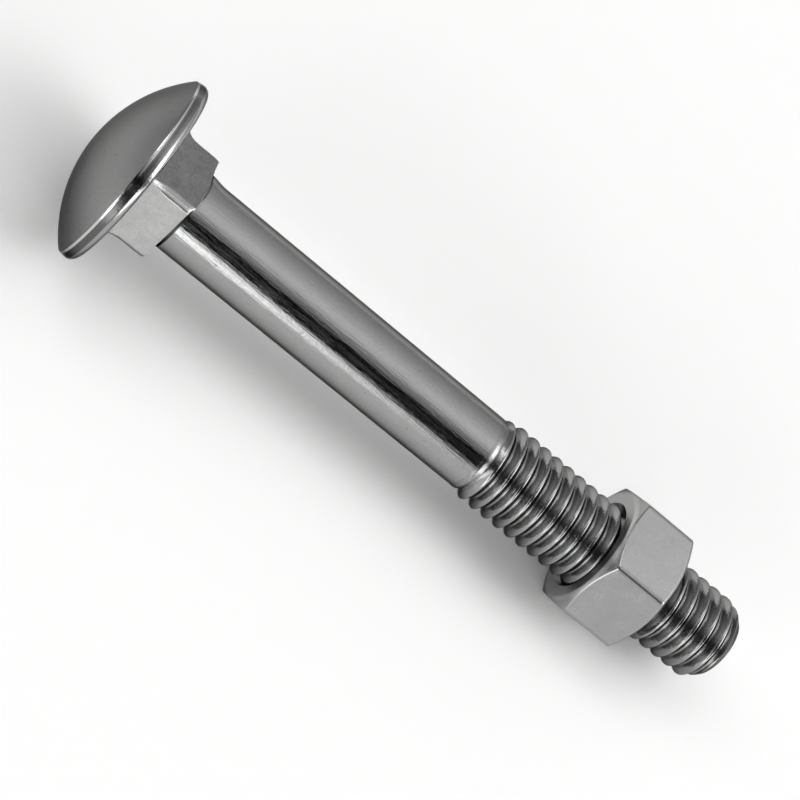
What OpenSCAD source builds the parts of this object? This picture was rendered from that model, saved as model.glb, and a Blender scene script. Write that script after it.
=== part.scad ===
// A carriage bolt with its hex nut threaded on, lying on a flat surface.
// The bolt is drawn along +Z from the underside of its head, then laid down along +X.

/* [Head] */
// Diameter of the round head
head_d = 20.6; // [18:0.1:24]
// Height of the head from its underside to the top of the dome
head_h = 5.6; // [4.5:0.1:7]
// Radius of the sphere that the dome is part of
crown_r = 14.8; // [13.6:0.1:20]
// Radius of the rounded upper edge of the rim
rim_top_r = 0.45; // [0.2:0.05:0.7]
// Radius of the rounded lower edge of the rim
rim_low_r = 0.55; // [0.2:0.05:0.6]

/* [Square neck] */
// Width of the square neck across its flats
neck_w = 8.7; // [8.5:0.1:10]
// Width of the square neck across its blunted corners
neck_corner_d = 11.8; // [11:0.1:13]
// Length of the square neck below the head
neck_len = 4.8; // [3:0.1:8]
// Length of the bevel on the corners where the neck ends
neck_bevel = 0.7; // [0.3:0.1:1.2]
// Radius of the fillet between the neck and the head
neck_fillet = 0.6; // [0.3:0.1:0.9]
// Turn of the bolt about its axis as it lies, from a flat of the neck facing up
bolt_turn = 70.8; // [0:0.1:90]

/* [Shank and thread] */
// Length of the bolt below the head
bolt_len = 75.9; // [70:0.1:90]
// Diameter of the plain shank, which is the thread's blank
shank_d = 8.4; // [8:0.05:8.6]
// Distance from the head's underside to the first turn of the thread
thread_from = 42.4; // [36:0.1:46]
// Outer diameter of the thread
thread_d = 9.4; // [9.3:0.05:9.6]
// Pitch of the right-hand thread
pitch = 1.5875; // [1.4:0.0125:1.8]
// Turns over which the thread grows to its full depth
runout_turns = 1.5; // [1:0.25:2.5]
// Diameter of the flat end of the bolt
tip_d = 7.3; // [6.8:0.1:7.8]
// Length of the chamfer that leads the thread in at the tip
tip_chamfer = 1.3; // [0.8:0.1:2]
// Distance from the head's underside to one of the thread's roots, over a flat of the neck
root_at = 48.56; // [47:0.01:50]

/* [Nut] */
// Width of the nut across its flats
nut_flats = 13.6; // [13.2:0.1:14.4]
// Width of the nut across its blunted corners
nut_corners = 15.5; // [15.3:0.1:16.6]
// Height of the nut
nut_h = 7.7; // [6.5:0.1:8.6]
// Diameter of the round bearing face that the chamfers leave
nut_face_d = 12.9; // [12.2:0.1:13.1]
// Distance from the head's underside to the near face of the nut
nut_at = 58.2; // [56:0.1:62]
// Gap between the thread's crests and the wall of the nut's hole
thread_gap = 0.12; // [0.1:0.01:0.2]
// Diameter of the countersink at each mouth of the hole
sink_d = 10.4; // [10:0.1:10.8]

/* [Hidden] */
$fn = 96;

// Angle of the chamfers on the nut's corners, and of the countersinks in it
chamfer_angle = 30;
sink_angle = 45;
// Flats on the nut, and flat sides on each turn of the thread
nut_sides = 6;
thread_sides = 36;
// A solid runs this far into the one it is joined to
join = 0.5;
// The thread's first ring is smaller than the shank by this much, and starts this far inside it
start_step = 0.04;
start_lap = 0.1;
// Shares of the pitch taken by the crest and by the root, and the height of a sharp 60 degree thread
crest_share = 1 / 8;
root_share = 1 / 4;
sharp_h = pitch * cos(30);
thread_depth = sharp_h * (1 - crest_share - root_share);

head_r = head_d / 2;
shank_r = shank_d / 2;
crest_r = thread_d / 2;
root_r = crest_r - thread_depth;
tip_r = tip_d / 2;
hole_r = crest_r + thread_gap;
steel = [0.63, 0.64, 0.63];

// Height of the dome's centre, and the centre and sweep of the arc that eases the dome into the rim
crown_z = head_h - crown_r;
ease_r = head_r - rim_top_r;
ease_z = crown_z + sqrt(pow(crown_r - rim_top_r, 2) - pow(ease_r, 2));
ease_angle = atan2(ease_z - crown_z, ease_r);

// The bolt rests on the lower edge of its rim and on the far end of the nut's lowest flat
rim_rest = [-rim_low_r, head_r - rim_low_r];
flat_end = nut_h - (nut_flats - nut_face_d) / 2 * tan(chamfer_angle);
nut_rest = [nut_at + flat_end, nut_flats / 2];
rest_span = nut_rest[0] - rim_rest[0];
rest_drop = rim_rest[1] - nut_rest[1];
lie_angle = atan2(rest_drop, rest_span) + asin(rim_low_r / norm([rest_span, rest_drop]));

// Ends of the bolt along the surface once it lies down, and how high its axis crosses the head's underside
head_end = -crown_z * cos(lie_angle) - crown_r;
tip_end = bolt_len * cos(lie_angle) + tip_r * sin(lie_angle);
axis_h = nut_rest[0] * sin(lie_angle) + nut_rest[1] * cos(lie_angle);

// A square with one corner hollowed out by a quarter circle
module cove(r) {
  difference() {
    square(r);
    translate([r, r]) circle(r = r);
  }
}

// Half of the head's section: X is the radius and Y runs from the underside to the dome's top
module head_section() {
  reach = crown_r;
  difference() {
    intersection() {
      translate([0, crown_z]) circle(r = crown_r);
      square([head_r, head_h]);
    }
    translate([head_r, 0]) mirror([1, 0]) cove(rim_low_r);
    difference() {
      translate([ease_r, ease_z]) polygon([[0, 0], [reach, 0], [reach, reach * tan(ease_angle)]]);
      translate([ease_r, ease_z]) circle(r = rim_top_r);
    }
  }
}

module head() {
  mirror([0, 0, 1]) rotate_extrude() head_section();
}

// The neck has blunted corners, and its far end is bevelled where they meet the shank
module neck() {
  corner_r = neck_corner_d / 2;
  intersection() {
    translate([-neck_w / 2, -neck_w / 2, -join]) cube([neck_w, neck_w, neck_len + join]);
    union() {
      translate([0, 0, -join]) cylinder(r = corner_r, h = neck_len - neck_bevel + join);
      translate([0, 0, neck_len - neck_bevel]) cylinder(r1 = corner_r, r2 = corner_r - neck_bevel, h = neck_bevel);
    }
  }
}

// Fillets run along the four flats of the neck and end at its blunted corners
module neck_fillets() {
  run = 2 * sqrt(pow(neck_corner_d / 2, 2) - pow(neck_w / 2, 2));
  for (side = [0:3])
    rotate(side * 90) translate([neck_w / 2, run / 2, 0]) rotate([90, 0, 0]) linear_extrude(run) cove(neck_fillet);
}

// Height of the thread's form at a place along one pitch: 1 on the crest and 0 on the root
function form(u) =
  let (v = abs(u - round(u)), flank = (1 - crest_share - root_share) / 2)
  max(0, min(1, 1 - (v - crest_share / 2) / flank));

// Radius of the thread at a distance z and an angle, with its run-out and the chamfer at the tip
function thread_r(z, angle) =
  let (
    grown = max(0, min(1, (z - thread_from) / (runout_turns * pitch))),
    u = (z - root_at) / pitch - angle / 360 + 0.5,
    full = root_r + thread_depth * form(u),
    lead = tip_r + (bolt_len - z) * (crest_r - tip_r) / tip_chamfer
  )
  min(lead, shank_r - start_step + grown * (full - shank_r + start_step));

// The thread is a grid of points: columns stand around the axis, and rows follow the edges of crest and root
module thread() {
  z0 = thread_from - start_lap;
  edges = [-crest_share / 2, crest_share / 2, 0.5 - root_share / 2, 0.5 + root_share / 2];
  first = floor((z0 - root_at) / pitch) - 2;
  rows = 4 * (ceil((bolt_len - root_at) / pitch) - first + 3);
  function row_z(row, angle) =
    let (z = root_at + pitch * (first + floor(row / 4) + edges[row % 4] + 0.5 + angle / 360))
    max(z0, min(bolt_len, z));
  points = [
    for (col = [0:thread_sides - 1], row = [0:rows - 1])
      let (angle = col * 360 / thread_sides, z = row_z(row, angle), r = thread_r(z, angle))
      [r * cos(angle), r * sin(angle), z]
  ];
  // The column after the last is the first one again, a whole pitch further on
  function at(col, row) = col < thread_sides ? col * rows + row : row + 4;
  function apart(a, b) = norm(points[a] - points[b]) > 0;
  sides = [
    for (col = [0:thread_sides - 1], row = [0:rows - 6])
      let (a = at(col, row), b = at(col + 1, row), c = at(col + 1, row + 1), d = at(col, row + 1))
      each [if (apart(b, c)) [a, c, b], if (apart(a, d)) [a, d, c]]
  ];
  start = [for (col = [0:thread_sides - 1]) col * rows];
  end = [for (col = [thread_sides - 1:-1:0]) col * rows + rows - 1];
  polyhedron(points = points, faces = concat(sides, [start, end]));
}

// The whole bolt, forged, rolled and cut as one piece
module bolt() {
  head();
  neck();
  neck_fillets();
  translate([0, 0, neck_len - join]) cylinder(r = shank_r, h = thread_from - neck_len + join);
  thread();
}

// A hexagon prism turned to a double chamfer, with a countersunk hole through it
module nut() {
  face_r = nut_face_d / 2;
  corner_r = nut_corners / 2;
  chamfer = (corner_r - face_r) * tan(chamfer_angle);
  sink = (sink_d / 2 - hole_r) * tan(sink_angle);
  difference() {
    intersection() {
      rotate(180 / nut_sides)
        cylinder(r = nut_flats / 2 / cos(180 / nut_sides), h = nut_h, $fn = nut_sides);
      union() {
        cylinder(r1 = face_r, r2 = corner_r, h = chamfer);
        translate([0, 0, chamfer]) cylinder(r = corner_r, h = nut_h - 2 * chamfer);
        translate([0, 0, nut_h - chamfer]) cylinder(r1 = corner_r, r2 = face_r, h = chamfer);
      }
    }
    translate([0, 0, -join]) cylinder(r = hole_r, h = nut_h + 2 * join);
    translate([0, 0, -sink]) cylinder(r1 = sink_d / 2 + sink, r2 = hole_r, h = 2 * sink);
    translate([0, 0, nut_h - sink]) cylinder(r1 = hole_r, r2 = sink_d / 2 + sink, h = 2 * sink);
  }
}

// Lays a piece drawn along +Z on the surface: its axis runs along +X, dipping towards the tip
module lying() {
  translate([-(head_end + tip_end) / 2, 0, axis_h])
    rotate([0, lie_angle, 0]) rotate([0, 90, 0]) children();
}

module carriage_bolt() {
  color(steel) lying() rotate(bolt_turn) bolt();
}

module hex_nut() {
  color(steel) lying() translate([0, 0, nut_at]) nut();
}

carriage_bolt();
hex_nut();
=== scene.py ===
import math

import bmesh
import bpy
from mathutils import Matrix, Vector


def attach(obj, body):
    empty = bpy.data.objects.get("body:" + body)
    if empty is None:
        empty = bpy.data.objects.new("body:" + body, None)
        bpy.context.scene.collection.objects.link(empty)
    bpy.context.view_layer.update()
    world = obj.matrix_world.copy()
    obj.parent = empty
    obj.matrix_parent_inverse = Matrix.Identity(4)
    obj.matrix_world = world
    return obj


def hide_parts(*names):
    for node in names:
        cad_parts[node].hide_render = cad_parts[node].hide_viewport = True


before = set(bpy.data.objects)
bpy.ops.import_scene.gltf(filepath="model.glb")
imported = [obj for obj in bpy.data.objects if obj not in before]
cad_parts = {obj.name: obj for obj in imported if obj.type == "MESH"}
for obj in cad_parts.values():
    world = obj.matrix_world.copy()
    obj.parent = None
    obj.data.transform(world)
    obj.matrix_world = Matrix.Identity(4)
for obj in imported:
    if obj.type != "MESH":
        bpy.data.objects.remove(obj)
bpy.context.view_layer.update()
print("frame loaded:", sorted(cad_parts))

# how the bolt lies: its pieces are drawn in millimetres along +Z from the underside of the head
lying = {
    "underside": (-0.0351871, 0, 0.0102574),  # where the axis crosses the head's underside
    "dip": 3.02489,  # degrees that the axis dips towards the tip
    "boltTurn": 70.8,  # turn of the bolt about its axis
    "millimetre": 0.001,
}


def turned(degrees, axis):
    return Matrix.Rotation(math.radians(degrees), 4, axis)


def lyingPlace(turn=0):
    place = Matrix.Translation(lying["underside"]) @ turned(lying["dip"], "Y")
    place = place @ turned(90, "Y") @ turned(turn, "Z")
    return place @ Matrix.Scale(lying["millimetre"], 4)


# ---- camera ----
# it stands off the bolt's axis, turned from straight above towards the front
cameraStand = {
    "forward": 30.0,  # degrees from above towards the front
    "along": -23.780,  # mm past the head's underside
    "distance": 199.950,  # mm from the axis
    "swing": -15.916,  # degrees that it looks along the bolt, towards the tip
    "nod": -0.236,  # degrees that it looks across the bolt
    "roll": 39.300,  # degrees that it is turned about its own view
    "lens": 95.829,  # mm
}


def axisView():
    # X runs along the bolt and Z towards the camera
    return turned(lying["dip"], "Y") @ turned(cameraStand["forward"], "X")


def placeCamera():
    stand = cameraStand
    data = bpy.data.cameras.new("productCamera")
    data.lens = stand["lens"]
    data.sensor_width = 36
    data.sensor_fit = "HORIZONTAL"
    data.clip_start, data.clip_end = 0.01, 20
    camera = bpy.data.objects.new("productCamera", data)
    bpy.context.scene.collection.objects.link(camera)
    mm = lying["millimetre"]
    offset = Matrix.Translation((stand["along"] * mm, 0, stand["distance"] * mm))
    turn = turned(stand["swing"], "Y") @ turned(stand["nod"], "X") @ turned(stand["roll"], "Z")
    camera.matrix_world = Matrix.Translation(lying["underside"]) @ axisView() @ offset @ turn
    bpy.context.scene.camera = camera


placeCamera()
print("camera placed")


# ---- mesh helpers ----
def softMin(a, b, soft):
    # the smaller of two radii, rounded over where they meet
    share = min(1, max(0, 0.5 + 0.5 * (b - a) / soft))
    return b + (a - b) * share - soft * share * (1 - share)


def smoothStep(low, high, value):
    share = min(1, max(0, (value - low) / (high - low)))
    return share * share * (3 - 2 * share)


def columnAngle(vert):
    return math.degrees(math.atan2(vert.co.y, vert.co.x)) % 360


def putOn(vert, radius, degrees, height):
    angle = math.radians(degrees)
    vert.co = (radius * math.cos(angle), radius * math.sin(angle), height)


meshCare = {
    "spinGap": 1e-3,  # vertices closer than this are one, in mm: where the spun thread meets itself
    "squareGap": 1e-5,  # and where its ends are squared off
    "pieceGap": 1e-4,  # and in the finished piece
    "sharpAngle": 50,  # an edge that turns more than this stays sharp, in degrees
}


def ringAt(mesh, height, columns):
    # the ring of thread vertices at one height, in order round the axis
    step = 360 / columns
    ring = [v for v in mesh.verts if abs(v.co.z - height) < meshCare["squareGap"]]
    return sorted(ring, key=lambda v: round(columnAngle(v) / step) % columns)


def drawRing(mesh, ring, place):
    # extrudes a ring once, and place gives each new vertex its spot
    pairs = zip(ring, ring[1:] + ring[:1])
    edges = [mesh.edges.get(pair) for pair in pairs]
    made = bmesh.ops.extrude_edge_only(mesh, edges=edges)["geom"]
    fresh = {item for item in made if isinstance(item, bmesh.types.BMVert)}
    follow = []
    for column, vert in enumerate(ring):
        mate = next(e.other_vert(vert) for e in vert.link_edges if e.other_vert(vert) in fresh)
        follow.append(mate)
        place(mate, column)
    return follow


def threadShape(share, crest, root):
    # height of the thread form at a share of the pitch: 1 on the crest and 0 on the root
    v = abs(share - round(share))
    flank = 0.5 - crest / 2 - root / 2
    return min(1, max(0, 1 - (v - crest / 2) / flank))


def roundedShape(share, crest, root, blur=0.035):
    # the same form with its edges rolled over
    steps = (-1, -0.6, -0.2, 0.2, 0.6, 1)
    return sum(threadShape(share + blur * s, crest, root) for s in steps) / len(steps)


def spinThread(mesh, cut, low, high, columns, radiusAt):
    # a line of vertices is spun once round and one pitch along, and its ends are squared off
    pitch = cut["pitch"]
    first = math.floor((low - cut["rootAt"]) / pitch) - 2
    last = math.ceil((high - cut["rootAt"]) / pitch) + 1
    line = []
    for turn in range(first, last):
        for share in cut["rows"]:
            line.append(mesh.verts.new((1, 0, cut["rootAt"] + (turn + share) * pitch)))
    edges = [mesh.edges.new(pair) for pair in zip(line, line[1:])]
    bmesh.ops.spin(
        mesh, geom=line + edges, cent=(0, 0, 0), axis=(0, 0, 1),
        dvec=(0, 0, pitch / columns), angle=math.tau, steps=columns, use_merge=False,
    )
    bmesh.ops.remove_doubles(mesh, verts=mesh.verts, dist=meshCare["spinGap"])
    for vert in mesh.verts:
        angle, height = columnAngle(vert), vert.co.z
        height = low if height < low + cut["snap"] else min(high, height)
        height = high if height > high - cut["snap"] else height
        putOn(vert, radiusAt(height, angle), angle, height)
    bmesh.ops.remove_doubles(mesh, verts=mesh.verts, dist=meshCare["squareGap"])


def finishPiece(name, mesh, place, materials, body, node):
    bmesh.ops.remove_doubles(mesh, verts=mesh.verts, dist=meshCare["pieceGap"])
    bmesh.ops.recalc_face_normals(mesh, faces=mesh.faces)
    for face in mesh.faces:
        face.smooth = True
    openEdges = sum(1 for e in mesh.edges if len(e.link_faces) != 2)
    mesh.transform(place)
    data = bpy.data.meshes.new(name)
    mesh.to_mesh(data)
    mesh.free()
    data.set_sharp_from_angle(angle=math.radians(meshCare["sharpAngle"]))
    for material in materials:
        data.materials.append(material)
    piece = bpy.data.objects.new(name, data)
    bpy.context.scene.collection.objects.link(piece)
    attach(piece, body)
    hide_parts(node)
    data.calc_loop_triangles()
    print(name, "triangles:", len(data.loop_triangles), "open edges:", openEdges)
    return piece


# ---- shader helpers ----
def addNode(tree, kind, inputs=None, **settings):
    node = tree.nodes.new(kind)
    for name, value in settings.items():
        setattr(node, name, value)
    for name, value in (inputs or {}).items():
        if isinstance(value, bpy.types.NodeSocket):
            tree.links.new(value, node.inputs[name])
        else:
            node.inputs[name].default_value = value
    return node


def mathNode(tree, operation, *values):
    return addNode(tree, "ShaderNodeMath", dict(enumerate(values)), operation=operation).outputs[0]


def spread(tree, value, low, high, toLow, toHigh, smooth=False):
    # maps a value from one range to another
    node = addNode(tree, "ShaderNodeMapRange", {
        "Value": value, "From Min": low, "From Max": high, "To Min": toLow, "To Max": toHigh,
    })
    node.interpolation_type = "SMOOTHSTEP" if smooth else "LINEAR"
    return node.outputs["Result"]


def newGroup(name, inputs, outputs):
    tree = bpy.data.node_groups.new(name, "ShaderNodeTree")
    for socket, (kind, value) in inputs.items():
        made = tree.interface.new_socket(socket, in_out="INPUT", socket_type=kind)
        if value is not None:
            made.default_value = value
    for socket in outputs:
        tree.interface.new_socket(socket, in_out="OUTPUT", socket_type="NodeSocketFloat")
    start = tree.nodes.new("NodeGroupInput")
    end = tree.nodes.new("NodeGroupOutput")
    return tree, start.outputs, end.inputs


def useGroup(tree, group, inputs):
    return addNode(tree, "ShaderNodeGroup", inputs, node_tree=group).outputs


number, vector = "NodeSocketFloat", "NodeSocketVector"


def makeRoundPlace():
    # reads a place about the bolt's axis: distance along it and away from it, the angle round it
    # in radians, and distance to the side of it
    tree, given, out = newGroup(
        "roundPlace", {"Place": (vector, None)}, ["Along", "Radius", "Round", "Side"],
    )
    split = addNode(tree, "ShaderNodeSeparateXYZ", {"Vector": given["Place"]}).outputs
    tree.links.new(split["Y"], out["Side"])
    across = mathNode(tree, "MULTIPLY", split["X"], split["X"])
    up = mathNode(tree, "MULTIPLY", split["Y"], split["Y"])
    radius = mathNode(tree, "SQRT", mathNode(tree, "ADD", across, up))
    turn = mathNode(tree, "ARCTAN2", split["Y"], split["X"])
    tree.links.new(split["Z"], out["Along"])
    tree.links.new(radius, out["Radius"])
    tree.links.new(turn, out["Round"])
    return tree


def makePlatingCloud():
    # broad and fine tones of a zinc coat: both outputs lie about 0
    tree, given, out = newGroup(
        "platingCloud",
        {"Place": (vector, None), "Patch Size": (number, 3.0), "Grain Size": (number, 0.3)},
        ["Cloud", "Grain"],
    )
    for size, name, detail in (("Patch Size", "Cloud", 3), ("Grain Size", "Grain", 4)):
        scale = mathNode(tree, "DIVIDE", 1.0, given[size])
        noise = addNode(tree, "ShaderNodeTexNoise", {
            "Vector": given["Place"], "Scale": scale, "Detail": detail, "Roughness": 0.6,
        })
        tree.links.new(mathNode(tree, "SUBTRACT", noise.outputs["Fac"], 0.5), out[name])
    return tree


def makePits():
    # scattered pits: Depth is 0 on the open surface and 1 in the middle of a pit
    tree, given, out = newGroup(
        "pits",
        {
            "Place": (vector, None), "Spacing": (number, 0.8), "Reach": (number, 0.25),
            "Share": (number, 0.4),
        },
        ["Depth"],
    )
    scale = mathNode(tree, "DIVIDE", 1.0, given["Spacing"])
    cells = addNode(tree, "ShaderNodeTexVoronoi", {
        "Vector": given["Place"], "Scale": scale, "Randomness": 1.0,
    })
    flatMiddle = 0.02  # the bottom of a pit is flat out to here
    near = spread(tree, cells.outputs["Distance"], given["Reach"], flatMiddle, 0, 1, True)
    pick = addNode(tree, "ShaderNodeSeparateColor", {"Color": cells.outputs["Color"]}).outputs[0]
    keep = mathNode(tree, "LESS_THAN", pick, given["Share"])
    tree.links.new(mathNode(tree, "MULTIPLY", near, keep), out["Depth"])
    return tree


def makeDrawnLines():
    # faint lines left along the bolt by drawing the wire, unrolled so that they run straight
    tree, given, out = newGroup(
        "drawnLines",
        {
            "Along": (number, 0.0), "Round": (number, 0.0), "Length": (number, 12.0),
            "Count": (number, 30.0),
        },
        ["Lines"],
    )
    side = mathNode(tree, "COSINE", given["Round"])
    rise = mathNode(tree, "SINE", given["Round"])
    far = mathNode(tree, "DIVIDE", given["Along"], given["Length"])
    turnAcross = mathNode(tree, "MULTIPLY", side, given["Count"])
    turnUp = mathNode(tree, "MULTIPLY", rise, given["Count"])
    place = addNode(tree, "ShaderNodeCombineXYZ", {"X": turnAcross, "Y": turnUp, "Z": far}).outputs[0]
    noise = addNode(tree, "ShaderNodeTexNoise", {
        "Vector": place, "Scale": 1.0, "Detail": 2.0, "Roughness": 0.5,
    })
    tree.links.new(mathNode(tree, "SUBTRACT", noise.outputs["Fac"], 0.5), out["Lines"])
    return tree


def makeMarkBand():
    # 1 where a value lies between Low and High, fading to 0 over Soft beyond them
    tree, given, out = newGroup(
        "markBand",
        {"Value": (number, 0.0), "Low": (number, 0.0), "High": (number, 1.0), "Soft": (number, 0.1)},
        ["Mask"],
    )
    above = mathNode(tree, "SUBTRACT", given["Value"], given["Low"])
    below = mathNode(tree, "SUBTRACT", given["High"], given["Value"])
    inside = mathNode(tree, "DIVIDE", mathNode(tree, "MINIMUM", above, below), given["Soft"])
    tree.links.new(spread(tree, inside, -1, 0, 0, 1, True), out["Mask"])
    return tree


roundPlace, platingCloud = makeRoundPlace(), makePlatingCloud()
pits, drawnLines, markBand = makePits(), makeDrawnLines(), makeMarkBand()


coatBasics = {
    "edgeTint": 0.2,  # the coat's tint at a grazing angle
    "pitRough": 0.2,  # how much rougher the pits are
}


def zincSteel(name, look, turn=0):
    material = bpy.data.materials.new(name)
    material.use_nodes = True
    tree = material.node_tree
    shader = tree.nodes["Principled BSDF"]
    place = lyingPlace(turn)
    spot = addNode(tree, "ShaderNodeMapping", {
        "Vector": addNode(tree, "ShaderNodeTexCoord").outputs["Object"],
        "Location": place.to_translation(),
        "Rotation": place.to_euler(),
        "Scale": (lying["millimetre"],) * 3,
    }, vector_type="TEXTURE").outputs[0]
    about = useGroup(tree, roundPlace, {"Place": spot})
    coat = useGroup(tree, platingCloud, {
        "Place": spot, "Patch Size": look["patch"], "Grain Size": look["grain"],
    })
    hollow = useGroup(tree, pits, {
        "Place": spot, "Spacing": look["pitSpacing"], "Reach": look["pitReach"],
        "Share": look["pitShare"],
    })
    lines = useGroup(tree, drawnLines, {
        "Along": about["Along"], "Round": about["Round"], "Length": look["lineLength"],
        "Count": look["lineCount"],
    })
    # tone: clouds and grain lighten and darken the metal, pits hold grime, and marks lie in bands; most
    # marks are painted shade and painted highlights
    tone = mathNode(tree, "MULTIPLY_ADD", coat["Cloud"], look["cloudTone"], 1.0)
    tone = mathNode(tree, "MULTIPLY_ADD", coat["Grain"], look["grainTone"], tone)
    tone = mathNode(tree, "MULTIPLY_ADD", hollow["Depth"], -look["pitTone"], tone)
    marks = []
    for reads, low, high, soft, lighter, rougher in look["marks"]:
        band = {"Value": about[reads], "Low": low, "High": high, "Soft": soft}
        mask = useGroup(tree, markBand, band)["Mask"]
        tone = mathNode(tree, "MULTIPLY_ADD", mask, lighter, tone)
        marks.append((mask, rougher))
    color = addNode(tree, "ShaderNodeMix", {
        "Factor": 1.0, "A": (*look["color"], 1), "B": addNode(tree, "ShaderNodeCombineColor", {
            "Red": tone, "Green": tone, "Blue": tone,
        }).outputs[0],
    }, data_type="RGBA", blend_type="MULTIPLY")
    tree.links.new(color.outputs["Result"], shader.inputs["Base Color"])
    # roughness: the coat is duller in its clouds and pits
    rough = mathNode(tree, "MULTIPLY_ADD", coat["Cloud"], look["cloudRough"], look["rough"])
    rough = mathNode(tree, "MULTIPLY_ADD", coat["Grain"], look["grainRough"], rough)
    rough = mathNode(tree, "MULTIPLY_ADD", hollow["Depth"], coatBasics["pitRough"], rough)
    for mask, rougher in marks:
        rough = mathNode(tree, "MULTIPLY_ADD", mask, rougher, rough)
    tree.links.new(rough, shader.inputs["Roughness"])
    shader.inputs["Metallic"].default_value = 1.0
    shader.inputs["Specular Tint"].default_value = (*[coatBasics["edgeTint"]] * 3, 1)
    # relief in millimetres
    relief = mathNode(tree, "MULTIPLY", coat["Cloud"], look["cloudRelief"])
    relief = mathNode(tree, "MULTIPLY_ADD", coat["Grain"], look["grainRelief"], relief)
    relief = mathNode(tree, "MULTIPLY_ADD", lines["Lines"], look["lineRelief"], relief)
    relief = mathNode(tree, "MULTIPLY_ADD", hollow["Depth"], -look["pitRelief"], relief)
    bump = addNode(tree, "ShaderNodeBump", {
        "Height": relief, "Strength": 1.0, "Distance": lying["millimetre"],
    })
    tree.links.new(bump.outputs["Normal"], shader.inputs["Normal"])
    return material


# ---- bolt ----
boltSizes = {
    "columns": 120,
    "headRadius": 10.3,
    "headHeight": 5.6,
    "crownRadius": 14.8,
    "rimTop": 0.45,
    "rimLow": 0.75,
    "rimLean": 0.08,
    "shankRadius": 4.2,
    "threadFrom": 42.4,
    "length": 75.9,
    "crestRadius": 4.7,
    "rootRadius": 3.84074,
    "runoutTurns": 1.5,
    "tipRadius": 3.65,
    "tipChamfer": 1.3,
    "tipSoft": 0.06,  # rounding where the tip's chamfer cuts the thread
    "tipRings": (0.93, 0.6, 0.25),  # rings of the flat end, as shares of its radius
    "threadLap": 0.1,  # the thread's grid starts this far before its first turn
    "shankRings": (42.0, 41.0, 36, 30, 24, 18, 12, 8),
    "rimSteps": 8,  # faces across each rounding of the rim
    "sideSteps": 4,
    "domeSteps": 28,
    "rimRings": 20,  # rings of the head that have the rim's finish
}

threadCut = {
    "pitch": 1.5875,
    "rootAt": 48.86,  # one of the roots, over a flat of the neck
    "crest": 0.125,
    "root": 0.16,
    # shares of the pitch from one root to the next, closest together on the crest and root
    "rows": (
        0, 0.07, 0.12, 0.165, 0.24, 0.32, 0.39, 0.435, 0.465,
        0.5, 0.535, 0.565, 0.61, 0.68, 0.76, 0.835, 0.88, 0.93,
    ),
    "snap": 0.03,  # rows closer than this to an end of the thread move onto it
}


def boltThreadRadius(height, angle):
    size, cut = boltSizes, threadCut
    grown = smoothStep(0, 1, (height - size["threadFrom"]) / (size["runoutTurns"] * cut["pitch"]))
    share = (height - cut["rootAt"]) / cut["pitch"] - angle / 360 + 0.5
    form = roundedShape(share, cut["crest"], cut["root"])
    full = size["rootRadius"] + (size["crestRadius"] - size["rootRadius"]) * form
    slope = (size["crestRadius"] - size["tipRadius"]) / size["tipChamfer"]
    lead = size["tipRadius"] + (size["length"] - height) * slope
    rolled = size["shankRadius"] + grown * (full - size["shankRadius"])
    return softMin(lead, rolled, size["tipSoft"])


# the neck from the shank to the head: place along the bolt, half width over flats, size of the
# rounding of its corners, radius that its corners are turned down to, and how far its bevel goes
neckRings = (
    (4.86, 4.280, 1.0, 5.84, 0.50), (4.80, 4.300, 1.0, 5.85, 0.48), (4.70, 4.320, 1.0, 5.87, 0.42),
    (4.45, 4.340, 1.0, 5.90, 0.23), (4.24, 4.346, 1.0, 5.92, 0.08), (4.10, 4.350, 1.0, 5.93, 0.02),
    (4.04, 4.350, 1.0, 5.94, 0), (3.96, 4.350, 1.0, 5.94, 0), (3.40, 4.350, 1.0, 5.95, 0),
    (2.40, 4.350, 1.0, 5.97, 0), (1.90, 4.350, 0.95, 6.02, 0), (1.50, 4.355, 0.8, 6.10, 0),
    (1.20, 4.367, 0.7, 6.22, 0), (1.00, 4.380, 0.6, 6.34, 0), (0.80, 4.400, 0.55, 6.48, 0),
    (0.55, 4.450, 0.5, 6.66, 0), (0.38, 4.510, 0.45, 6.82, 0), (0.24, 4.590, 0.4, 6.97, 0),
    (0.12, 4.690, 0.35, 7.10, 0), (0.04, 4.810, 0.3, 7.20, 0), (0.0, 4.980, 0.25, 7.32, 0),
)
# the end of the neck and the narrow groove where it meets the shank: place and radius
neckEnd = (
    (7.0, 4.2), (6.6, 4.2), (6.2, 4.2), (5.85, 4.2), (5.60, 4.2), (5.40, 4.2), (5.24, 4.2),
    (5.15, 4.195), (5.09, 4.165), (5.04, 4.13), (4.98, 4.12), (4.93, 4.14), (4.90, 4.25),
    (4.885, 4.5), (4.875, 4.9), (4.87, 5.3),
)
grooveStart = 4.93  # the shank's finish ends here
# columns of vertices stand evenly before the first place, and as on the neck past the second
evenedOut = (6, 4.95)
neckCorner = {
    # rounding of each corner: from and to, in degrees off its middle, radius and steps
    "arcs": ((-45, -20, 0.43, 4), (-20, -4, 2.2, 5), (-4, 0, 1.0, 2), (0, 45, 0.3, 7)),
    "flatSteps": 6,
    "soft": 0.12,  # rounding where a corner is turned down
    "short": (0.02, -0.15, -0.3, 0.05),  # how much each corner tapers towards the shank
    "flare": (0.5, 0, 0, 0),  # how much further each corner flares out under the head
    "keen": (1, 1, 0.8, 0.5),  # how much of the bevel each corner goes without
}
# the side of the neck over the first corner runs further along the shank, and thickens it there
neckRunOutSizes = {
    "further": 0.3, "furtherFrom": (50, 90), "furtherTo": (137, 128),  # mm, and degrees round the neck
    "furtherStart": (3.4, 4.7), "furtherEnd": (7.0, 5.3),  # mm along the bolt
    "thicker": 0.22, "thickerFrom": (5, 45), "thickerTo": (100, 50), "thickerEnd": (7.0, 5.0),
}


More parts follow.
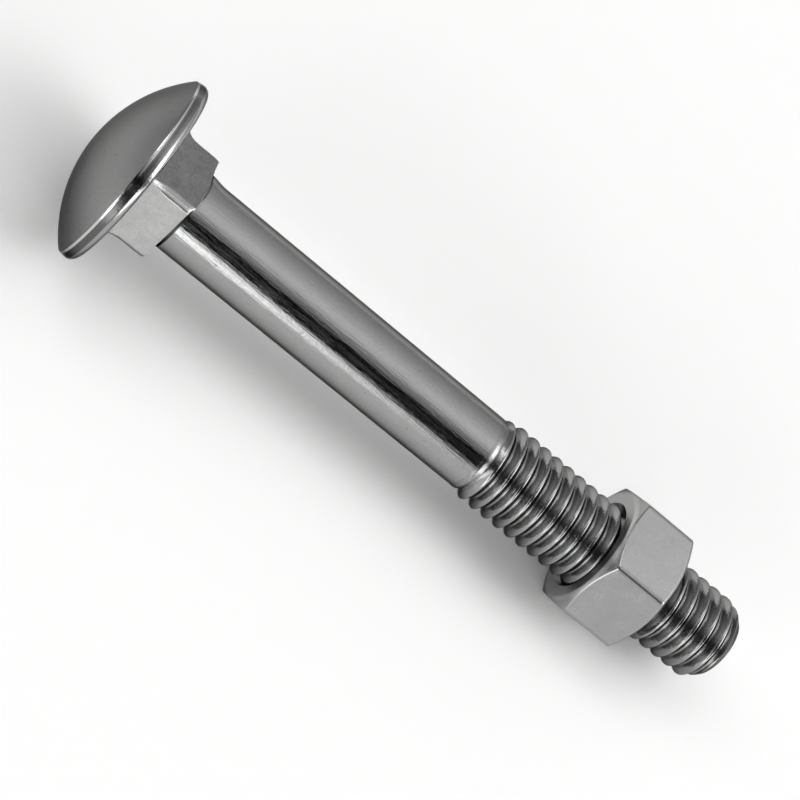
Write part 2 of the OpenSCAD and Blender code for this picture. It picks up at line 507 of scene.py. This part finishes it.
def neckOutline(flat, rounding):
    # a quarter of the neck's section as radius and angle, from the middle of one flat to the next
    first, last = Vector((1, -1)).normalized(), Vector((1, 1)).normalized()
    spot, path = Vector((0, 0)), [Vector((0, 0))]
    for low, high, radius, steps in neckCorner["arcs"]:
        for step in range(steps):
            turn = math.radians(low + (high - low) * (step + 0.5) / steps)
            stride = radius * rounding * math.radians((high - low) / steps)
            spot = spot + Vector((-math.sin(turn), math.cos(turn))) * stride
            path.append(spot)
    start = first * flat + last * (flat - spot.dot(last))
    path = [start + spot for spot in path]
    count = neckCorner["flatSteps"]
    path = [(first * flat).lerp(path[0], k / count) for k in range(count)] + path
    path += [path[-1].lerp(last * flat, k / count) for k in range(1, count)]
    return [(spot.length, math.degrees(math.atan2(spot.y, spot.x)) + 45) for spot in path]


def neckSpot(column, height, flat, rounding, corner, bevel):
    outline = neckOutline(flat, rounding)
    which, step = divmod(column, len(outline))
    radius, within = outline[step]
    corner -= neckCorner["short"][which] * smoothStep(1.4, 4.8, height)
    corner -= bevel * (1 - neckCorner["keen"][which])
    flare = neckCorner["flare"][which] * smoothStep(1.7, 0, height)
    flare *= smoothStep(28, 0, abs(within - 45))
    return softMin(radius, corner, neckCorner["soft"]) + flare, which * 90 + within


def neckRunOut(angle, height):
    run = neckRunOutSizes
    side = smoothStep(*run["furtherFrom"], angle) * smoothStep(*run["furtherTo"], angle)
    ends = smoothStep(*run["furtherStart"], height) * smoothStep(*run["furtherEnd"], height)
    bulge = smoothStep(*run["thickerFrom"], angle) * smoothStep(*run["thickerTo"], angle)
    return run["further"] * side * ends, run["thicker"] * bulge * smoothStep(*run["thickerEnd"], height)


def headProfile():
    # radius and height of the head's rings, from the outer edge of the underside to the crown
    size = boltSizes
    low, top, crown = size["rimLow"], size["rimTop"], size["crownRadius"]
    centre = crown - size["headHeight"]
    easeRadius = size["headRadius"] - top
    easeHeight = centre - math.sqrt((crown - top) ** 2 - easeRadius ** 2)
    tangent = math.atan2(centre - easeHeight, easeRadius)
    widest = math.asin(easeRadius / (crown - top))
    rings, edge = [], size["headRadius"] - low
    for step in range(size["rimSteps"] + 1):
        angle = math.pi / 2 * step / size["rimSteps"]
        rings.append((edge + low * math.sin(angle), -low + low * math.cos(angle)))
    for step in range(1, size["sideSteps"]):
        share = step / size["sideSteps"]
        lean = size["rimLean"] * share ** 1.5
        rings.append((size["headRadius"] - lean, -low + (easeHeight + low) * share))
    for step in range(size["rimSteps"] + 1):
        angle = tangent * step / size["rimSteps"]
        lean = size["rimLean"] * (1 - step / size["rimSteps"])
        rings.append((easeRadius + top * math.cos(angle) - lean, easeHeight - top * math.sin(angle)))
    for step in range(1, size["domeSteps"]):
        angle = widest * (1 - step / size["domeSteps"])
        rings.append((crown * math.sin(angle), centre - crown * math.cos(angle)))
    return rings


def buildBolt(materials):
    size, columns = boltSizes, boltSizes["columns"]
    start = size["threadFrom"] - size["threadLap"]
    mesh = bmesh.new()

    def evenRing(ring, radius, height):
        return drawRing(mesh, ring, lambda v, c: putOn(v, radius, c * 360 / columns, height))

    spinThread(mesh, threadCut, start, size["length"], columns, boltThreadRadius)
    threadFaces = set(mesh.faces)
    # the flat end of the tip
    ring = ringAt(mesh, size["length"], columns)
    for share in size["tipRings"]:
        ring = evenRing(ring, size["tipRadius"] * share, size["length"])
    bmesh.ops.contextual_create(mesh, geom=ring)
    # the plain shank, and the neck's end
    ring = ringAt(mesh, start, columns)
    for height in size["shankRings"]:
        ring = evenRing(ring, size["shankRadius"], height)
    for height, limit in neckEnd:

        def onEnd(vert, column, z=height, limit=limit):
            radius, angle = neckSpot(column, *neckRings[0])
            even = column * 360 / columns
            angle = even + (angle - even) * smoothStep(*evenedOut, z)
            further, thicker = neckRunOut(angle, z)
            putOn(vert, min(radius, limit + thicker), angle, z + further)

        ring = drawRing(mesh, ring, onEnd)
        if height == grooveStart:
            shankFaces = set(mesh.faces) - threadFaces
    for row in neckRings:

        def onNeck(vert, column, row=row):
            radius, angle = neckSpot(column, *row)
            putOn(vert, radius, angle, row[0] + neckRunOut(angle, row[0])[0])

        ring = drawRing(mesh, ring, onNeck)
    neckFaces = set(mesh.faces) - threadFaces - shankFaces
    # the head's underside, rim and dome
    for step, (radius, height) in enumerate(headProfile()):
        ring = evenRing(ring, radius, height)
        if step == size["rimRings"]:
            rimFaces = set(mesh.faces) - threadFaces - shankFaces - neckFaces
    evenRing(ring, 0, -size["headHeight"])
    parts = (threadFaces, shankFaces, neckFaces, rimFaces)
    for face in mesh.faces:
        face.material_index = next((k for k, part in enumerate(parts) if face in part), len(parts))
    place = lyingPlace(lying["boltTurn"])
    return finishPiece("boltPiece", mesh, place, materials, "bolt", "carriage_bolt")


# marks on a finish: what they read, from and to, softness, and how much lighter and rougher they are;
# most of them are painted shade, painted highlights and painted reflections
threadLook = {
    "color": (0.35, 0.355, 0.35), "rough": 0.12, "patch": 1.5, "grain": 0.22,
    "cloudTone": 0.2, "grainTone": 0.3, "cloudRough": 0.08, "grainRough": 0.08,
    "pitSpacing": 0.9, "pitReach": 0.2, "pitShare": 0.3, "pitTone": 0.3, "pitRelief": 0.01,
    "lineLength": 12.0, "lineCount": 30.0, "lineRelief": 0.0, "cloudRelief": 0.04, "grainRelief": 0.014,
    "marks": (
        # painted shade: the roots are darker, as shade falls between the crests
        ("Radius", 3, 4.1, 0.2, -0.3, 0.1), ("Radius", 4.62, 6.0, 0.1, -0.05, 0.03),
        # painted shade: one side of the thread is darker, and the thread past the nut a little darker
        ("Round", -3.0, -1.9, 0.3, -0.16, 0), ("Along", 66, 80, 0.5, -0.05, 0),
    ),
}
shankLook = {
    "color": (0.335, 0.34, 0.335), "rough": 0.1, "patch": 2.5, "grain": 0.25,
    "cloudTone": 0.12, "grainTone": 0.2, "cloudRough": 0.08, "grainRough": 0.1,
    "pitSpacing": 1.1, "pitReach": 0.16, "pitShare": 0.3, "pitTone": 0.3, "pitRelief": 0.006,
    "lineLength": 2.5, "lineCount": 26.0, "lineRelief": 0.016, "cloudRelief": 0.02, "grainRelief": 0.009,
    # painted shade: a dark band in the groove where the neck meets the shank, and one side of the shank
    # darker
    "marks": (("Along", 4.8, 5.22, 0.06, -0.8, 0.2), ("Round", -2.9, -1.9, 0.35, -0.13, 0)),
}
neckLook = {
    "color": (0.46, 0.465, 0.46), "rough": 0.27, "patch": 1.3, "grain": 0.25,
    "cloudTone": 0.35, "grainTone": 0.35, "cloudRough": 0.2, "grainRough": 0.1,
    "pitSpacing": 0.7, "pitReach": 0.2, "pitShare": 0.4, "pitTone": 0.15, "pitRelief": 0.01,
    "lineLength": 10.0, "lineCount": 28.0, "lineRelief": 0.0, "cloudRelief": 0.03, "grainRelief": 0.012,
    # painted shade: the neck's upper flat is darker
    "marks": (("Side", 4.17, 9, 0.05, -0.36, 0.0),),
}
rimLook = {
    "color": (0.24, 0.243, 0.24), "rough": 0.16, "patch": 2.0, "grain": 0.25,
    "cloudTone": 0.2, "grainTone": 0.2, "cloudRough": 0.08, "grainRough": 0.05,
    "pitSpacing": 0.9, "pitReach": 0.15, "pitShare": 0.3, "pitTone": 0.2, "pitRelief": 0.01,
    "lineLength": 10.0, "lineCount": 28.0, "lineRelief": 0.0, "cloudRelief": 0.03, "grainRelief": 0.008,
    "marks": (
        # painted highlights: a bright line along the edge between rim and dome, and a lighter band on
        # the rim's lower rounding
        ("Along", -1.5, -1.32, 0.05, 1.8, -0.05), ("Along", -0.55, 0.5, 0.15, 0.9, -0.05),
        # painted shade: a sector of the rim round one side is darker
        ("Round", 2.7, 4, 0.2, -0.5, 0.05), ("Round", -4, -1.9, 0.2, -0.5, 0.05),
    ),
}
domeLook = {
    "color": (0.252, 0.257, 0.252), "rough": 0.4, "patch": 3.0, "grain": 0.26,
    "cloudTone": 0.15, "grainTone": 0.3, "cloudRough": 0.1, "grainRough": 0.1,
    "pitSpacing": 1.1, "pitReach": 0.2, "pitShare": 0.3, "pitTone": 0.12, "pitRelief": 0.008,
    "lineLength": 10.0, "lineCount": 28.0, "lineRelief": 0.0, "cloudRelief": 0.03, "grainRelief": 0.02,
    # painted light and shade: the dome is lighter on its upper side and darker on its lower side
    "marks": (("Side", -20, -4, 7, -0.3, 0), ("Side", 6, 20, 6, 0.12, 0)),
}
turn = lying["boltTurn"]
buildBolt([
    zincSteel("rolledThreadZinc", threadLook, turn),
    zincSteel("drawnShankZinc", shankLook, turn),
    zincSteel("forgedNeckZinc", neckLook, turn),
    zincSteel("glossyRimZincPaintedLight", rimLook, turn),
    zincSteel("satinDomeZinc", domeLook, turn),
])
print("bolt built")


# ---- nut ----
nutSizes = {
    "at": 58.2,  # distance of its near face from the head's underside
    "height": 7.7,
    "halfFlats": 6.8,
    "cornerRadius": 7.74,
    "cornerLean": -6,  # degrees that the blunt of each corner leans to one side
    "faceRadius": 6.45,
    "chamferAngle": 30,
    "sinkRadius": 5.2,
    "threadEase": 0.055,  # how far its thread stands clear of the bolt's
    "columns": 120,
    "offCorner": (0, 0.35, 0.7, 1.0, 1.3, 1.7, 3, 7, 13, 21),  # columns beside each corner, in degrees
    "cornerSoft": 0.03,
    "edge": (0.1, 0.22),  # reach of its softened edges, on the near side and the far side
    "edgeSag": 0.268,  # how deep a softened edge is cut, as a share of its reach
    # rings beside the near and the far edge, as shares of its reach: below 0 they lie on the chamfer
    "edgeRings": ((-2.6, -1.25, -1, 0, 1, 1.25), (1.25, 1, 0, -1, -1.2)),
    "faceRings": (0.1, 0.03),  # rings of the flat faces, this far inside their outer edge
    "sinkRing": 0.06,  # and this far outside the countersink
}


def nutThreadRadius(height, angle):
    size, cut, bolt = nutSizes, threadCut, boltSizes
    along = height + size["at"]
    share = (along - cut["rootAt"]) / cut["pitch"] - (angle - lying["boltTurn"]) / 360 + 0.5
    form = roundedShape(share, cut["crest"], cut["root"])
    wall = bolt["rootRadius"] + (bolt["crestRadius"] - bolt["rootRadius"]) * form + size["threadEase"]
    sink = size["sinkRadius"] - min(height, size["height"] - height)
    return max(wall, sink)


def nutColumn(column):
    # angle of a column: they stand closest together at the corners
    perCorner = nutSizes["columns"] // 6
    sector, step = divmod(column, perCorner)
    away = step - perCorner // 2
    off = -30 if step == 0 else math.copysign(nutSizes["offCorner"][abs(away)], away)
    return sector * 60 + 30 + off


def nutSide(angle):
    size = nutSizes
    off = (angle + 30) % 60 - 30
    side = size["halfFlats"] / math.cos(math.radians(off))
    lean = math.copysign(size["cornerLean"], off)
    blunt = size["cornerRadius"] / math.cos(math.radians(30 - abs(off) - lean))
    return softMin(side, blunt, size["cornerSoft"])


def buildNut(materials):
    size, columns = nutSizes, nutSizes["columns"]
    slope = math.tan(math.radians(size["chamferAngle"]))
    mesh = bmesh.new()
    # the nut isn't turned as the bolt is, so its roots stand a share of a pitch further back
    turnedBack = threadCut["pitch"] * lying["boltTurn"] / -360
    cut = threadCut | {"rootAt": threadCut["rootAt"] - size["at"] + turnedBack}
    spinThread(mesh, cut, 0, size["height"], columns, nutThreadRadius)
    threadFaces = set(mesh.faces)
    farRing = ringAt(mesh, size["height"], columns)
    spots = [v.co.copy() for v in farRing]
    ring = ringAt(mesh, 0, columns)

    def onFace(radius, far):
        def place(vert, column):
            putOn(vert, radius, nutColumn(column), size["height"] if far else 0)
        return place

    def onEdge(reach, far):
        # reach is measured from the edge between chamfer and flat: below 0 it lies on the chamfer
        def place(vert, column):
            angle = nutColumn(column)
            side = nutSide(angle)
            height = (side - size["faceRadius"]) * slope
            if reach < 0:
                side, height = side + reach * math.cos(tilt), height + reach * math.sin(tilt)
            elif reach == 0:
                sag, lean = size["edge"][far] * size["edgeSag"], math.pi / 4 + tilt / 2
                side, height = side - sag * math.sin(lean), height + sag * math.cos(lean)
            else:
                height += reach
            putOn(vert, side, angle, size["height"] - height if far else height)
        return place

    tilt = math.radians(size["chamferAngle"])
    faceRings = [size["sinkRadius"] + size["sinkRing"]]
    faceRings += [size["faceRadius"] - inside for inside in size["faceRings"]]
    steps = [onFace(radius, 0) for radius in faceRings]
    for far, shares in enumerate(size["edgeRings"]):
        steps += [onEdge(size["edge"][far] * share, far) for share in shares]
    steps += [onFace(radius, 1) for radius in reversed(faceRings)]
    for step in steps:
        ring = drawRing(mesh, ring, step)

    def onMouth(vert, column):
        vert.co = spots[column]

    drawRing(mesh, ring, onMouth)
    for face in mesh.faces:
        face.material_index = 1 if face in threadFaces else 0
    bmesh.ops.translate(mesh, verts=mesh.verts, vec=(0, 0, size["at"]))
    return finishPiece("nutPiece", mesh, lyingPlace(), materials, "nut", "hex_nut")


nutLook = {
    "color": (0.375, 0.38, 0.375), "rough": 0.26, "patch": 2.0, "grain": 0.3,
    "cloudTone": 0.14, "grainTone": 0.14, "cloudRough": 0.08, "grainRough": 0.04,
    "pitSpacing": 0.9, "pitReach": 0.14, "pitShare": 0.1, "pitTone": 0.05, "pitRelief": 0.001,
    "lineLength": 10.0, "lineCount": 28.0, "lineRelief": 0.0, "cloudRelief": 0.01, "grainRelief": 0.0025,
    "marks": (
        # painted reflection and painted light: the corners are darker and smoother, standing in for a
        # dark reflection along them, and the near face is lighter
        ("Radius", 7.7, 9, 0.04, -0.15, -0.17), ("Along", 57, 58.3, 0.25, 0.4, 0.05),
        # painted shade: one side of the nut is darker
        ("Round", -2.54, -1.65, 0.08, -0.13, 0),
    ),
}
nutThreadLook = nutLook | {"color": (0.335, 0.34, 0.335), "marks": ()}
buildNut([zincSteel("satinNutZinc", nutLook), zincSteel("nutThreadZinc", nutThreadLook)])
print("nut built")


# ---- studio ----
studio = {
    "floorColor": (0.95, 0.95, 0.945),
    "floorSize": 6.0,
    "floorRough": 0.6,
    "floorGloss": 0.1,
    "topBox": {"size": (1.4, 1.4), "from": (0.1, 0.3, 1.3), "power": 2.4},
}
# the room's lights, each by its brightness round the bolt's axis, in degrees from the camera
# towards the front, and from the head's end of the room to the tip's end
roomLights = {
    "ceiling": {
        "round": (
            (-180, 0.5), (-110, 0.5), (-85, 0.63), (-60, 0.9), (-42, 1.13), (-30, 1.04), (-22, 0.81),
            (-16, 0.47), (-9, 0.37), (-4, 0.34), (-1, 0.06), (4, 0), (180, 0),
        ),
        "along": ((-1, 0.4), (-0.25, 0.45), (0.03, 1), (0.45, 1), (1, 1)),
    },
    "frontStrip": {
        "round": (
            (-180, 0), (11, 0), (16, 0.09), (21, 0), (28, 0), (33, 0.08), (38, 0.4), (42, 0.75), (48, 1),
            (57, 0.9), (64, 0.72), (180, 0.4),
        ),
        "along": ((-1, 0.2), (-0.5, 2.2), (0.12, 3.6), (0.2, 2.4), (0.31, 0.95), (0.4, 0.72), (1, 0.7)),
    },
    "headEnd": {
        "round": (
            (-180, 0), (-75, 0), (-60, 0.15), (-52, 0.95), (-40, 0.95), (-30, 0.1), (-8, 0), (26, 0),
            (34, 0.72), (60, 0.72), (75, 0.1), (180, 0.1),
        ),
        "along": ((-1, 0.8), (-0.93, 0.9), (-0.8, 2.1), (-0.4, 2.1), (-0.25, 0), (1, 0)),
    },
    "tipEnd": {
        "round": (
            (-180, 0), (-85, 0), (-58, 0.2), (-50, 0.95), (-20, 0.95), (-6, 0.05), (13, 0.05), (19, 0.8),
            (24, 1), (46, 1), (56, 0.15), (180, 0.1),
        ),
        "along": ((-1, 0), (0.43, 0), (0.56, 3.4), (0.9, 3.4), (1, 1.9)),
    },
}


def toneRamp(tree, value, low, high, stops):
    # a grey ramp: stops are places from low to high and their tones
    top = max(tone for _, tone in stops)
    ramp = addNode(tree, "ShaderNodeValToRGB", {"Fac": spread(tree, value, low, high, 0, 1)})
    for place, tone in stops[1:-1]:
        ramp.color_ramp.elements.new((place - low) / (high - low))
    for stop, (place, tone) in zip(ramp.color_ramp.elements, stops):
        stop.position = (place - low) / (high - low)
        stop.color = (tone / top, tone / top, tone / top, 1)
    return mathNode(tree, "MULTIPLY", ramp.outputs["Color"], top)


def makeRoom():
    world = bpy.data.worlds.new("studioRoom")
    bpy.context.scene.world = world
    world.use_nodes = True
    tree = world.node_tree
    back = tree.nodes["Background"]
    way = addNode(tree, "ShaderNodeMapping", {
        "Vector": addNode(tree, "ShaderNodeTexCoord").outputs["Generated"],
        "Rotation": axisView().to_euler(),
    }, vector_type="TEXTURE").outputs[0]
    split = addNode(tree, "ShaderNodeSeparateXYZ", {"Vector": way}).outputs
    front = mathNode(tree, "MULTIPLY", split["Y"], -1.0)
    turn = mathNode(tree, "DEGREES", mathNode(tree, "ARCTAN2", front, split["Z"]))
    total = 0.0
    for light in roomLights.values():
        around = toneRamp(tree, turn, -180, 180, light["round"])
        along = toneRamp(tree, split["X"], -1, 1, light["along"])
        total = mathNode(tree, "MULTIPLY_ADD", around, along, total)
    tree.links.new(total, back.inputs["Color"])
    back.inputs["Strength"].default_value = 1.0


def addLamp(name, box):
    # it lights the floor, and the metal doesn't mirror it
    data = bpy.data.lights.new(name, "AREA")
    data.shape = "RECTANGLE"
    data.size, data.size_y = box["size"]
    data.energy = box["power"]
    lamp = bpy.data.objects.new(name, data)
    bpy.context.scene.collection.objects.link(lamp)
    place = Matrix.Translation(box["from"])
    aim = (-place.to_translation()).to_track_quat("-Z", "Y").to_matrix().to_4x4()
    lamp.matrix_world = place @ aim
    lamp.visible_camera = False
    lamp.visible_glossy = False


def makeFloor():
    mesh = bmesh.new()
    bmesh.ops.create_grid(mesh, x_segments=2, y_segments=2, size=studio["floorSize"])
    data = bpy.data.meshes.new("studioFloor")
    mesh.to_mesh(data)
    mesh.free()
    floor = bpy.data.objects.new("studioFloor", data)
    bpy.context.scene.collection.objects.link(floor)
    material = bpy.data.materials.new("paleFloor")
    material.use_nodes = True
    shader = material.node_tree.nodes["Principled BSDF"]
    shader.inputs["Base Color"].default_value = (*studio["floorColor"], 1)
    shader.inputs["Roughness"].default_value = studio["floorRough"]
    shader.inputs["Specular IOR Level"].default_value = studio["floorGloss"]
    data.materials.append(material)


makeRoom()
addLamp("topBox", studio["topBox"])
makeFloor()
bpy.context.scene.view_settings.view_transform = "Standard"
print("studio lit")
